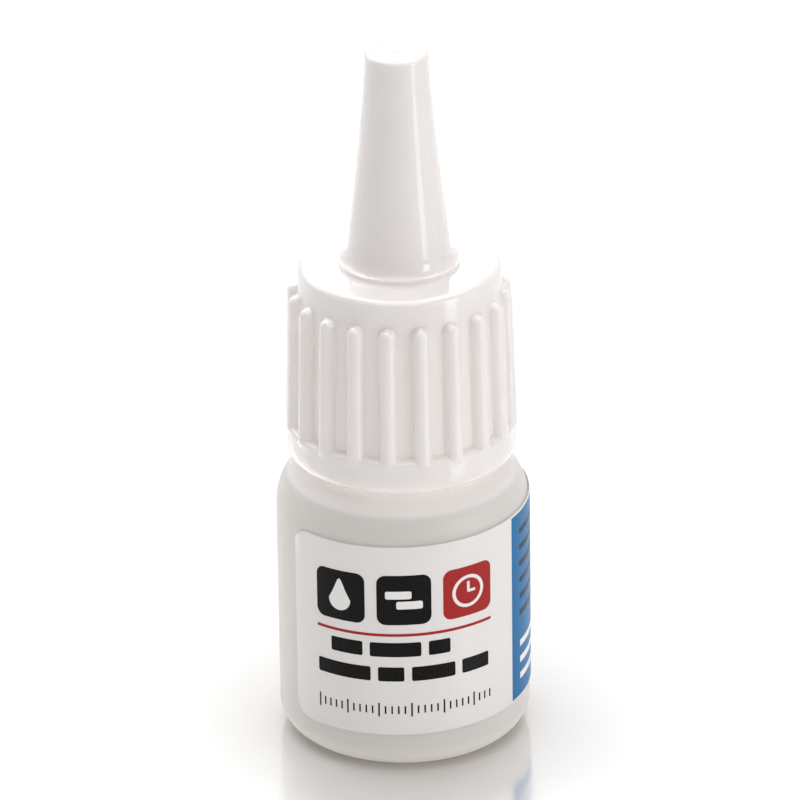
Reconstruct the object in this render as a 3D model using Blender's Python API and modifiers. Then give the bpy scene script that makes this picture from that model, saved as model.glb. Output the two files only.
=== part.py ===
# A small round dropper bottle of liquid adhesive: a squeezable bottle with a threaded neck,
# a dropper nozzle held down by a ribbed screw collar, and a tall tapered cap over the nozzle.
# Units are metres, +Z is up, the bottle stands on z = 0 and the label's front faces -Y.
# Run it with: blender --background --python part.py

import bmesh
import bpy
from math import acos, asin, atan2, cos, pi, radians, sin, sqrt
from mathutils import Matrix, Vector

# Bottle body
BODY_RADIUS = 0.0125
BODY_WALL = 0.0010
BASE_FILLET = 0.0028
BASE_THICKNESS = 0.0011
BASE_RECESS_RADIUS = 0.0066
BASE_RECESS_DEPTH = 0.0005
BASE_RECESS_SLOPE = 0.0008
STRAIGHT_WALL_TOP = 0.0242
SHOULDER_FILLET = 0.0054

# Neck and its screw thread
NECK_RADIUS = 0.0075
NECK_WALL = 0.0016
NECK_EDGE = 0.0004
THREAD_PITCH = 0.0030
THREAD_TURNS = 1.75
THREAD_SPACE = 0.0012
THREAD_CLEARANCE = 0.00022
THREAD_BELOW_LIP = 0.0060
THREAD_FADE_TURNS = 1 / 6
THREAD_END_SHARE = 0.25

# Liquid
FILL_PAST_WALL = 0.0028
LIQUID_GAP = 0.0003

# Dropper nozzle
NOZZLE_FLANGE = 0.0010
NOZZLE_FLANGE_CLEARANCE = 0.0003
PLUG_LENGTH = 0.0060
PLUG_CLEARANCE = 0.0003
PLUG_LEAD_IN = 0.0006
SHANK_RADIUS = 0.0031
SHANK_COLLAR_HEIGHT = 0.0012
TIP_RADIUS = 0.0010
TIP_BELOW_CAP = 0.0034
CHANNEL_INLET_RADIUS = 0.0019
CHANNEL_OUTLET_RADIUS = 0.0005

# Screw collar
COLLAR_HEIGHT = 0.0200
COLLAR_TOP_WALL = 0.0014
COLLAR_WALL = 0.0013
COLLAR_TOP_FILLET = 0.0010
COLLAR_BEAD = 0.0006
COLLAR_BEAD_LEAD_IN = 0.0007
COLLAR_BAND_HEIGHT = 0.0034
COLLAR_BAND_STEP = 0.0009
COLLAR_BAND_EDGE = 0.0001
COLLAR_FOOT_INSET = 0.0002
COLLAR_FOOT_TAPER = 0.0010
GROOVE_DRAFT = 0.00045
RIB_COUNT = 20
RIB_HALF_WIDTH = 0.0009
RIB_HEIGHT = 0.00102
RIB_TOP_BELOW_EDGE = 0.0023
RIB_FOOT_BELOW_BAND = 0.0006
FIRST_RIB_ANGLE = radians(-7.2)

# Tapered cap
CAP_HEIGHT = 0.0222
CAP_WALL = 0.0011
CAP_SHANK_CLEARANCE = 0.0008
CAP_TIP_CLEARANCE = 0.00102
CAP_FLANGE_LIP = 0.0006
CAP_FLARE = 0.0010
CAP_FLARE_HEIGHT = 0.0018
CAP_TAPER_POWER = 1.3
CAP_TOP_FILLET = 0.00075
CAP_TOP_DIMPLE_RADIUS = 0.0018
CAP_TOP_DIMPLE_DEPTH = 0.00018
CAP_CROWN = 0.0017

# Label
LABEL_ABOVE_FILLET = 0.0015
LABEL_PAST_WALL = 0.0007
LABEL_START_ANGLE = radians(-57.5)
LABEL_SPAN = radians(245)
LABEL_CORNER = 0.0020
LABEL_SLANT = 0.0225
LABEL_THICKNESS = 0.00010
LABEL_GAP = 0.00005

# Clearances between pieces that meet
SEAT_GAP = 0.0003
COLLAR_LIFT = 0.0004

# Facets round a full turn
BODY_STEPS = 60
SMALL_STEPS = 40
THREAD_STEPS = 24
ARC_STEP = radians(15)
RIB_SIDES = 12
RIB_RINGS = 6
FLANK_STEPS = 6
LABEL_CORNER_STEPS = 5
SMOOTH_ANGLE = radians(35)
MERGE_DISTANCE = 0.000001

# Sizes and heights that follow from the ones above
SHOULDER_TOP = STRAIGHT_WALL_TOP + SHOULDER_FILLET
COLLAR_BOTTOM = SHOULDER_TOP + COLLAR_LIFT
COLLAR_TOP = COLLAR_BOTTOM + COLLAR_HEIGHT
COLLAR_CEILING = COLLAR_TOP - COLLAR_TOP_WALL
NOZZLE_SEAT = COLLAR_CEILING - SEAT_GAP - NOZZLE_FLANGE
NECK_TOP = NOZZLE_SEAT - SEAT_GAP
CAP_BOTTOM = COLLAR_TOP + SEAT_GAP
NECK_BORE = NECK_RADIUS - NECK_WALL
THREAD_RIDGE = (sqrt(THREAD_SPACE**2 + (THREAD_PITCH / 2) ** 2) - THREAD_CLEARANCE) / 2
COLLAR_BORE = NECK_RADIUS + THREAD_SPACE
COLLAR_TOP_RADIUS = COLLAR_BORE + COLLAR_WALL
GROOVE_FOOT_RADIUS = COLLAR_TOP_RADIUS + GROOVE_DRAFT
COLLAR_BAND_RADIUS = GROOVE_FOOT_RADIUS + COLLAR_BAND_STEP
CAP_FOOT_RADIUS = SHANK_RADIUS + CAP_SHANK_CLEARANCE + CAP_WALL
CAP_TOP_RADIUS = TIP_RADIUS + CAP_TIP_CLEARANCE + CAP_WALL
CAP_FLANGE_RADIUS = CAP_FOOT_RADIUS + CAP_FLARE
NECK_THREAD_BOTTOM = NECK_TOP - THREAD_BELOW_LIP - THREAD_PITCH * THREAD_TURNS / 2
COLLAR_THREAD_BOTTOM = NECK_THREAD_BOTTOM - THREAD_PITCH / 2


def start_scene():
    """Empty the scene and make the two collections."""
    for thing in list(bpy.data.objects):
        bpy.data.objects.remove(thing, do_unlink=True)
    collections = []
    for name in ("dropper_bottle", "cutters"):
        collection = bpy.data.collections.new(name)
        bpy.context.scene.collection.children.link(collection)
        collections.append(collection)
    return collections


def material(name, colour, roughness, transmission=0.0):
    """A plain Principled material; colour is linear RGB."""
    made = bpy.data.materials.new(name)
    made.use_nodes = True
    shader = made.node_tree.nodes["Principled BSDF"]
    shader.inputs["Base Color"].default_value = (*colour, 1.0)
    shader.inputs["Roughness"].default_value = roughness
    shader.inputs["Metallic"].default_value = 0.0
    shader.inputs["Transmission Weight"].default_value = transmission
    made.diffuse_color = (*colour, 1.0)
    return made


def arc(centre, radius, start, end):
    """Points on an arc in the (radius, height) plane; angle 0 points outwards and 90 degrees points up."""
    count = max(1, round(abs(end - start) / ARC_STEP))
    angles = [start + (end - start) * i / count for i in range(count + 1)]
    return [(centre[0] + radius * cos(a), centre[1] + radius * sin(a)) for a in angles]


def shoulder(centre, radius, neck):
    """A quarter arc from the straight wall inwards, cut short where it meets a neck of this radius."""
    reach = min(radius, max(0.0, neck - centre[0]))
    top = acos(reach / radius)
    return [*arc(centre, radius, 0.0, top), (neck, centre[1] + radius * sin(top))]


def link(collection, name, data, height=0.0):
    thing = bpy.data.objects.new(name, data)
    thing.location.z = height
    collection.objects.link(thing)
    return thing


def turned(collection, name, profile, height, steps, finish):
    """A turned piece: the profile starts inside and runs down the outer side, and turns about Z."""
    shape = bmesh.new()
    points = [Vector((radius, 0.0, z - height)) for radius, z in profile]
    points = [p for p, last in zip(points, points[-1:] + points) if (p - last).length > MERGE_DISTANCE]
    corners = [shape.verts.new(point) for point in points]
    loop = corners if profile[0][0] == 0.0 else corners + corners[:1]
    for first, second in zip(loop, loop[1:]):
        shape.edges.new((first, second))
    mesh = bpy.data.meshes.new(name)
    shape.to_mesh(mesh)
    shape.free()
    thing = link(collection, name, mesh, height)
    mesh.materials.append(finish)
    screw = thing.modifiers.new("turn", "SCREW")
    screw.axis = "Z"
    screw.angle = 2 * pi
    screw.steps = steps
    screw.render_steps = steps
    screw.use_merge_vertices = True
    screw.merge_threshold = MERGE_DISTANCE
    screw.use_smooth_shade = True
    return thing


def smooth(thing):
    """Turn the modifiers into mesh, and shade round faces smooth and edges sharp."""
    graph = bpy.context.evaluated_depsgraph_get()
    mesh = bpy.data.meshes.new_from_object(thing.evaluated_get(graph))
    thing.modifiers.clear()
    thing.data = mesh
    mesh.shade_smooth()
    mesh.set_sharp_from_angle(angle=SMOOTH_ANGLE)
    return thing


def hide(thing):
    thing.hide_render = True
    thing.display_type = "WIRE"


def join(thing, other):
    """Boolean union of another object into this one."""
    union = thing.modifiers.new("join " + other.name, "BOOLEAN")
    union.operation = "UNION"
    union.solver = "EXACT"
    union.object = other


def thread_ridge(collection, name, radius, bottom, height):
    """A right-hand helical ridge of round section that fades out at both ends."""
    curve = bpy.data.curves.new(name, "CURVE")
    curve.dimensions = "3D"
    curve.bevel_depth = THREAD_RIDGE
    curve.bevel_resolution = 1
    curve.use_fill_caps = True
    spline = curve.splines.new("POLY")
    count = round(THREAD_TURNS * THREAD_STEPS)
    fade = THREAD_STEPS * THREAD_FADE_TURNS
    spline.points.add(count)
    for i, point in enumerate(spline.points):
        angle = 2 * pi * i / THREAD_STEPS
        rise = bottom - height + THREAD_PITCH * i / THREAD_STEPS
        point.co = (radius * cos(angle), radius * sin(angle), rise, 1.0)
        point.radius = min(1.0, THREAD_END_SHARE + (1.0 - THREAD_END_SHARE) * min(i, count - i) / fade)
    guide = link(collection, name + "_guide", curve, height)
    graph = bpy.context.evaluated_depsgraph_get()
    mesh = bpy.data.meshes.new_from_object(guide.evaluated_get(graph))
    ridge = link(collection, name, mesh)
    ridge.matrix_world = guide.matrix_world
    bpy.data.objects.remove(guide)
    shape = bmesh.new()
    shape.from_mesh(mesh)
    bmesh.ops.remove_doubles(shape, verts=shape.verts, dist=MERGE_DISTANCE)
    bmesh.ops.recalc_face_normals(shape, faces=shape.faces)
    shape.to_mesh(mesh)
    shape.free()
    hide(ridge)
    return ridge


def make_bottle(parts, cutters):
    finish = material("natural polyethylene", (0.74, 0.73, 0.70), 0.42, 0.35)
    base_centre = (BODY_RADIUS - BASE_FILLET, BASE_FILLET)
    shoulder_centre = (BODY_RADIUS - SHOULDER_FILLET, STRAIGHT_WALL_TOP)
    inner_floor = BASE_RECESS_DEPTH + BASE_THICKNESS
    inner_base_fillet = BASE_FILLET - BODY_WALL
    inner_base_centre = (BODY_RADIUS - BODY_WALL - inner_base_fillet, inner_floor + inner_base_fillet)
    profile = [
        (0.0, inner_floor),
        *arc(inner_base_centre, inner_base_fillet, -pi / 2, 0.0),
        *shoulder(shoulder_centre, SHOULDER_FILLET - BODY_WALL, NECK_BORE),
        (NECK_BORE, NECK_TOP),
        (NECK_RADIUS - NECK_EDGE, NECK_TOP),
        (NECK_RADIUS, NECK_TOP - NECK_EDGE),
        *reversed(shoulder(shoulder_centre, SHOULDER_FILLET, NECK_RADIUS)),
        *arc(base_centre, BASE_FILLET, 0.0, -pi / 2),
        (BASE_RECESS_RADIUS + BASE_RECESS_SLOPE, 0.0),
        (BASE_RECESS_RADIUS, BASE_RECESS_DEPTH),
        (0.0, BASE_RECESS_DEPTH),
    ]
    bottle = turned(parts, "bottle", profile, 0.0, BODY_STEPS, finish)
    join(bottle, thread_ridge(cutters, "neck_thread", NECK_RADIUS, NECK_THREAD_BOTTOM, 0.0))
    return smooth(bottle)


def make_adhesive(parts):
    """The liquid, a little inside the bottle's inner wall."""
    finish = material("clear adhesive", (0.82, 0.82, 0.78), 0.05, 0.95)
    radius = BODY_RADIUS - BODY_WALL - LIQUID_GAP
    floor = BASE_RECESS_DEPTH + BASE_THICKNESS + LIQUID_GAP
    fillet = BASE_FILLET - BODY_WALL - LIQUID_GAP
    curve = SHOULDER_FILLET - BODY_WALL - LIQUID_GAP
    climb = min(FILL_PAST_WALL, curve)
    profile = [
        (0.0, STRAIGHT_WALL_TOP + climb),
        *reversed(arc((BODY_RADIUS - SHOULDER_FILLET, STRAIGHT_WALL_TOP), curve, 0.0, asin(climb / curve))),
        *arc((radius - fillet, floor + fillet), fillet, 0.0, -pi / 2),
        (0.0, floor),
    ]
    return smooth(turned(parts, "adhesive", profile, floor, SMALL_STEPS, finish))


def make_nozzle(parts):
    """A plug in the neck's bore, a flange on its lip and a tapered shank with a fine channel."""
    finish = material("nozzle polyethylene", (0.80, 0.79, 0.76), 0.35, 0.25)
    plug_radius = NECK_BORE - PLUG_CLEARANCE
    plug_bottom = NOZZLE_SEAT - PLUG_LENGTH
    flange_radius = COLLAR_BORE - NOZZLE_FLANGE_CLEARANCE
    tip = CAP_BOTTOM + CAP_HEIGHT - CAP_CROWN - TIP_BELOW_CAP
    profile = [
        (CHANNEL_OUTLET_RADIUS, tip),
        (TIP_RADIUS, tip),
        (SHANK_RADIUS, COLLAR_TOP + SHANK_COLLAR_HEIGHT),
        (SHANK_RADIUS, NOZZLE_SEAT + NOZZLE_FLANGE),
        (flange_radius, NOZZLE_SEAT + NOZZLE_FLANGE),
        (flange_radius, NOZZLE_SEAT),
        (plug_radius, NOZZLE_SEAT),
        (plug_radius, plug_bottom + PLUG_LEAD_IN),
        (plug_radius - PLUG_LEAD_IN, plug_bottom),
        (CHANNEL_INLET_RADIUS, plug_bottom),
        (CHANNEL_INLET_RADIUS, NOZZLE_SEAT),
    ]
    return smooth(turned(parts, "dropper_nozzle", profile, plug_bottom, SMALL_STEPS, finish))


def make_ribs(cutters):
    """The grip ribs, upright bars with round ends spaced evenly about the collar."""
    top = COLLAR_TOP - RIB_TOP_BELOW_EDGE - RIB_HALF_WIDTH
    foot = COLLAR_BOTTOM + COLLAR_BAND_HEIGHT - RIB_FOOT_BELOW_BAND
    lean = atan2(GROOVE_DRAFT, COLLAR_HEIGHT - COLLAR_BAND_HEIGHT - COLLAR_TOP_FILLET)
    foot_axis = GROOVE_FOOT_RADIUS + RIB_HEIGHT - RIB_HALF_WIDTH
    ribs = bmesh.new()
    for i in range(RIB_COUNT):
        rib = bmesh.ops.create_uvsphere(
            ribs, u_segments=RIB_SIDES, v_segments=RIB_RINGS, radius=RIB_HALF_WIDTH
        )
        for corner in rib["verts"]:
            if corner.co.z > MERGE_DISTANCE:
                corner.co.z += top - foot
        place = Matrix.Rotation(FIRST_RIB_ANGLE + 2 * pi * i / RIB_COUNT, 4, "Z")
        place @= Matrix.Translation(Vector((0.0, -foot_axis, foot)))
        place @= Matrix.Rotation(-lean, 4, "X")
        bmesh.ops.transform(ribs, matrix=place, verts=rib["verts"])
    mesh = bpy.data.meshes.new("collar_ribs")
    ribs.to_mesh(mesh)
    ribs.free()
    thing = link(cutters, "collar_ribs", mesh)
    hide(thing)
    return thing


def make_collar(parts, cutters):
    """The ribbed collar; a bead in its bore snaps under the nozzle's flange and carries it."""
    finish = material("white polypropylene collar", (0.84, 0.81, 0.79), 0.28)
    nozzle_hole = SHANK_RADIUS + SEAT_GAP
    bead_top = NOZZLE_SEAT - SEAT_GAP
    ledge = COLLAR_BOTTOM + COLLAR_BAND_HEIGHT
    fillet_centre = (COLLAR_TOP_RADIUS - COLLAR_TOP_FILLET, COLLAR_TOP - COLLAR_TOP_FILLET)
    profile = [
        (COLLAR_BORE, COLLAR_BOTTOM),
        (COLLAR_BORE, bead_top - COLLAR_BEAD - COLLAR_BEAD_LEAD_IN),
        (COLLAR_BORE - COLLAR_BEAD, bead_top - COLLAR_BEAD),
        (COLLAR_BORE, bead_top),
        (COLLAR_BORE, COLLAR_CEILING),
        (nozzle_hole, COLLAR_CEILING),
        (nozzle_hole, COLLAR_TOP),
        *reversed(arc(fillet_centre, COLLAR_TOP_FILLET, 0.0, pi / 2)),
        (GROOVE_FOOT_RADIUS, ledge),
        (COLLAR_BAND_RADIUS - COLLAR_BAND_EDGE, ledge),
        (COLLAR_BAND_RADIUS, ledge - COLLAR_BAND_EDGE),
        (COLLAR_BAND_RADIUS, COLLAR_BOTTOM + COLLAR_FOOT_TAPER),
        (COLLAR_BAND_RADIUS - COLLAR_FOOT_INSET, COLLAR_BOTTOM),
    ]
    collar = turned(parts, "screw_collar", profile, COLLAR_BOTTOM, BODY_STEPS, finish)
    join(collar, make_ribs(cutters))
    join(collar, thread_ridge(cutters, "collar_thread", COLLAR_BORE, COLLAR_THREAD_BOTTOM, COLLAR_BOTTOM))
    return smooth(collar)


def cap_radius(share):
    """Radius of the cap's flank from its foot (0) to its top (1): a taper that eases off upwards."""
    return CAP_TOP_RADIUS + (CAP_FOOT_RADIUS - CAP_TOP_RADIUS) * (1.0 - share) ** CAP_TAPER_POWER


def make_cap(parts):
    """The tall hollow cap, with a flared flange that sits on the collar."""
    finish = material("white polypropylene cap", (0.84, 0.81, 0.79), 0.25)
    top = CAP_BOTTOM + CAP_HEIGHT
    flank_foot = CAP_BOTTOM + CAP_FLANGE_LIP + CAP_FLARE_HEIGHT
    flank_top = top - CAP_TOP_FILLET
    shares = [i / FLANK_STEPS for i in range(FLANK_STEPS + 1)]
    flank = [(cap_radius(share), flank_foot + (flank_top - flank_foot) * share) for share in shares]
    ceiling = top - CAP_CROWN
    inside = [(radius - CAP_WALL, z) for radius, z in flank if z < ceiling]
    quarter = arc((0.0, 0.0), 1.0, 0.0, pi / 2)
    flare = [
        (CAP_FOOT_RADIUS + CAP_FLARE * (1.0 - across), flank_foot - CAP_FLARE_HEIGHT * down)
        for across, down in quarter
    ]
    profile = [
        (0.0, ceiling),
        (inside[-1][0], ceiling),
        *reversed(inside),
        (inside[0][0], CAP_BOTTOM),
        (CAP_FLANGE_RADIUS, CAP_BOTTOM),
        *reversed(flare),
        *flank,
        *arc((CAP_TOP_RADIUS - CAP_TOP_FILLET, flank_top), CAP_TOP_FILLET, 0.0, pi / 2),
        (CAP_TOP_DIMPLE_RADIUS, top),
        (CAP_TOP_DIMPLE_RADIUS - CAP_TOP_DIMPLE_DEPTH, top - CAP_TOP_DIMPLE_DEPTH),
        (0.0, top - CAP_TOP_DIMPLE_DEPTH),
    ]
    return smooth(turned(parts, "spire_cap", profile[::-1], CAP_BOTTOM, SMALL_STEPS, finish))


def make_label(parts):
    """A curved film with rounded corners, wound a little askew round the body."""
    finish = material("printed film", (0.80, 0.77, 0.74), 0.30)
    radius = BODY_RADIUS + LABEL_GAP
    length = radius * LABEL_SPAN
    columns = round(BODY_STEPS * LABEL_SPAN / (2 * pi))
    bottom = BASE_FILLET + LABEL_ABOVE_FILLET
    top = STRAIGHT_WALL_TOP + LABEL_PAST_WALL
    turns = [pi / 2 * i / LABEL_CORNER_STEPS for i in range(LABEL_CORNER_STEPS)]
    corner_steps = [LABEL_CORNER * (1.0 - cos(turn)) for turn in turns]
    middle = [
        LABEL_CORNER + (length - 2 * LABEL_CORNER) * i / (columns - 1) for i in range(columns)
    ]
    places = corner_steps + middle + [length - step for step in reversed(corner_steps)]
    sheet = bmesh.new()
    bmesh.ops.create_grid(sheet, x_segments=len(places) - 1, y_segments=1, size=1.0)
    for corner in sheet.verts:
        place = places[round((corner.co.x + 1.0) / 2 * (len(places) - 1))]
        inset = max(0.0, LABEL_CORNER - min(place, length - place))
        half = (top - bottom) / 2 - LABEL_CORNER + sqrt(LABEL_CORNER**2 - inset**2)
        along = LABEL_START_ANGLE * radius + place
        height = (top + bottom) / 2 + LABEL_SLANT * along + half * corner.co.y
        corner.co = (radius * sin(along / radius), -radius * cos(along / radius), height)
    bmesh.ops.recalc_face_normals(sheet, faces=sheet.faces)
    mesh = bpy.data.meshes.new("wrap_label")
    sheet.to_mesh(mesh)
    sheet.free()
    mesh.materials.append(finish)
    label = link(parts, "wrap_label", mesh)
    film = label.modifiers.new("film", "SOLIDIFY")
    film.thickness = LABEL_THICKNESS
    film.offset = 1.0
    return label


def hang_on_axes(parts):
    """Each body's empty stands on the bottle's axis, where its joint turns or slides."""
    bodies = {
        "bottle_body": (0.0, None, ("bottle", "adhesive", "wrap_label")),
        "nozzle_body": (NOZZLE_SEAT, "bottle_body", ("dropper_nozzle",)),
        "collar_body": (COLLAR_BOTTOM, "nozzle_body", ("screw_collar",)),
        "cap_body": (CAP_BOTTOM, "nozzle_body", ("spire_cap",)),
    }
    for name, (height, parent, pieces) in bodies.items():
        empty = link(parts, name, None, height)
        bpy.context.view_layer.update()
        if parent:
            empty.parent = bpy.data.objects[parent]
            empty.matrix_parent_inverse = empty.parent.matrix_world.inverted()
        bpy.context.view_layer.update()
        for piece in pieces:
            thing = bpy.data.objects[piece]
            thing.parent = empty
            thing.matrix_parent_inverse = empty.matrix_world.inverted()
    bpy.context.view_layer.update()


def main():
    parts, cutters = start_scene()
    make_bottle(parts, cutters)
    make_adhesive(parts)
    make_nozzle(parts)
    make_collar(parts, cutters)
    make_cap(parts)
    make_label(parts)
    hang_on_axes(parts)


main()
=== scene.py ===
from math import copysign, cos, hypot, pi, radians, sin, sqrt

import bmesh
import bpy
from mathutils import Matrix, Vector


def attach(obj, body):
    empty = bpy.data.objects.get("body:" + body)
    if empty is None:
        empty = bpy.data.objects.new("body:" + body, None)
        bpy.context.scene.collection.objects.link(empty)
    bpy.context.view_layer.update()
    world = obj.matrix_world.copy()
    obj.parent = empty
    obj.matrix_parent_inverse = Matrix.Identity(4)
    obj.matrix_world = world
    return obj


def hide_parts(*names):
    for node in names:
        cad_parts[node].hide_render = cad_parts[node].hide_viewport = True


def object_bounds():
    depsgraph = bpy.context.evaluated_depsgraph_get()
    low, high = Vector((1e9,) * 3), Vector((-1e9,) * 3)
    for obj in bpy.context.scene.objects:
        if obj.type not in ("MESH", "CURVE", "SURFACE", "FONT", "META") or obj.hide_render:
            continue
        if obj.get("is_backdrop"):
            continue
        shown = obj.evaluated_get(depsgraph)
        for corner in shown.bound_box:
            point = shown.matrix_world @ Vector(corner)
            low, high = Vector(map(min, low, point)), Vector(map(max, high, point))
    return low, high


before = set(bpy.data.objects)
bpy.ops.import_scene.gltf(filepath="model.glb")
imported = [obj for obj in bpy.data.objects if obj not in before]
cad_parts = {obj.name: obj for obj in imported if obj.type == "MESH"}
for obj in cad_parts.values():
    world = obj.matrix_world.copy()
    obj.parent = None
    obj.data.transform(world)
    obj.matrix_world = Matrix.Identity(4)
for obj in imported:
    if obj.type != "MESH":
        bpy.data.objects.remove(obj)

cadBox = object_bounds()
mm = 0.001
mergeReach = 0.001 * mm               # points nearer than this are one point
sameSpot = 0.01                       # mm: places of an outline are found again within this
print("frame loaded:", ", ".join(sorted(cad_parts)))


# Tools that several pieces share

def deselectAll():
    if bpy.context.object and bpy.context.object.mode != "OBJECT":
        bpy.ops.object.mode_set(mode="OBJECT")
    bpy.ops.object.select_all(action="DESELECT")


def pickOnly(piece):
    deselectAll()
    piece.select_set(True)
    bpy.context.view_layer.objects.active = piece


def pickPoints(piece, wanted):        # edit mode: picks the points whose place in mm passes the test
    bpy.ops.mesh.select_all(action="DESELECT")
    shape = bmesh.from_edit_mesh(piece.data)
    for point in shape.verts:
        point.select = wanted(point.co / mm)
    shape.select_flush_mode()
    bmesh.update_edit_mesh(piece.data)


def arcPoints(centre, reach, start, end, count):      # angle 0 points outwards, 90 points up
    turns = [radians(start + (end - start) * step / count) for step in range(count + 1)]
    return [(centre[0] + reach * cos(turn), centre[1] + reach * sin(turn)) for turn in turns]


def placesBetween(start, end, spacing):               # evenly spaced, about this far apart, ends left out
    count = max(1, round(abs(end - start) / spacing))
    return [start + (end - start) * step / count for step in range(1, count)]


def rowsBetween(radius, start, end, spacing):         # rows of a straight wall
    return [(radius, height) for height in placesBetween(start, end, spacing)]


def drawOutline(name, outline):       # draws half the section with one point, extruded from place to place
    places = [Vector((radius * mm, 0, height * mm)) for radius, height in outline]
    deselectAll()
    bpy.ops.mesh.primitive_plane_add(size=mm, location=places[0])
    bpy.ops.object.transform_apply()
    piece = bpy.context.object
    piece.name = piece.data.name = name
    bpy.ops.object.mode_set(mode="EDIT")
    bpy.ops.mesh.merge(type="CENTER")
    for last, place in zip(places, places[1:]):
        bpy.ops.mesh.extrude_region_move(TRANSFORM_OT_translate={"value": place - last})
    return piece


def roundCorners(piece, corners, reach):              # edit mode: rounds the outline at these places
    pickPoints(piece, lambda place: any(hypot(place.x - x, place.z - z) < sameSpot for x, z in corners))
    bpy.ops.mesh.bevel(offset=reach * mm, segments=4, affect="VERTICES")


def spinOutline(steps, span=360):     # edit mode: turns the outline about the bottle's axis
    bpy.ops.mesh.select_all(action="SELECT")
    bpy.ops.mesh.spin(steps=steps, angle=radians(span), center=(0, 0, 0), axis=(0, 0, 1))
    closeUp()


def closeUp():                        # edit mode: merges seams and poles, turns all faces outwards
    bpy.ops.mesh.select_all(action="SELECT")
    bpy.ops.mesh.remove_doubles(threshold=mergeReach)
    bpy.ops.mesh.delete_loose()
    bpy.ops.mesh.select_all(action="SELECT")
    bpy.ops.mesh.normals_make_consistent(inside=False)


def smoothed(piece, angle=35):
    pickOnly(piece)
    bpy.ops.object.shade_smooth_by_angle(angle=radians(angle))
    return piece


thread = {                            # shared by the neck and the collar: one helix raised on each wall
    "pitch": 3.0,
    "turns": 1.75,
    "ridge": 0.85,
    "endShare": 0.25,                     # the ridge starts and ends at this share of its height
    "fadeTurns": 1 / 6,
}


def raiseThread(piece, wall, start, side=1):          # pushes the wall's points along a right-hand helix
    for point in piece.data.vertices:
        place = point.co / mm
        radius = hypot(place.x, place.y)
        if abs(radius - wall) > sameSpot:
            continue
        share = (Vector((place.x, place.y)).angle_signed(Vector((1, 0)), 0) / (2 * pi)) % 1
        for turn in (share, share + 1):
            if turn > thread["turns"]:
                continue
            fromEnd = min(turn, thread["turns"] - turn) / thread["fadeTurns"]
            ridge = thread["ridge"] * min(1, thread["endShare"] + (1 - thread["endShare"]) * fromEnd)
            away = place.z - start - thread["pitch"] * turn
            if abs(away) < ridge:
                grow = 1 + side * sqrt(ridge ** 2 - away ** 2) / radius
                point.co.x *= grow
                point.co.y *= grow


def settle(piece, finish, body, node=None):     # gives a finished piece its material, body and slot
    piece.data.materials.clear()
    piece.data.materials.append(finish)
    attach(piece, body)
    if node:
        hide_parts(node)
    print(f"{piece.name}: {len(piece.data.polygons)} faces, rides on {body}")
    return piece


# Material tools

noiseSpan = {"From Min": 0.3, "From Max": 0.7}        # most of a noise texture's values lie in here
paintedGlowRule = {"samples": 4, "openShare": 0.8}           # no painted glow where more than this share of the sky is open


def linearColour(code):               # an sRGB hex value as the linear colour that the sockets take
    parts = [int(code[place:place + 2], 16) / 255 for place in (1, 3, 5)]
    return (*[part / 12.92 if part <= 0.04045 else ((part + 0.055) / 1.055) ** 2.4 for part in parts], 1)


def addNode(tree, kind, settings=None, links=None):   # small letters name a property, others an input
    node = tree.nodes.new(kind)
    for key, value in (settings or {}).items():
        if isinstance(key, str) and hasattr(node, key):
            setattr(node, key, value)
        else:
            node.inputs[key].default_value = value
    for key, source in (links or {}).items():
        tree.links.new(source, node.inputs[key])
    return node


def newMaterial(name, sockets):
    finish = bpy.data.materials.new(name)
    finish.use_nodes = True
    shader = finish.node_tree.nodes["Principled BSDF"]
    for key, value in sockets.items():
        shader.inputs[key].default_value = value
    return finish, finish.node_tree, shader


def perMetre(size):                   # noise scale whose cells are this many mm wide
    return 1 / (size * mm)


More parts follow.
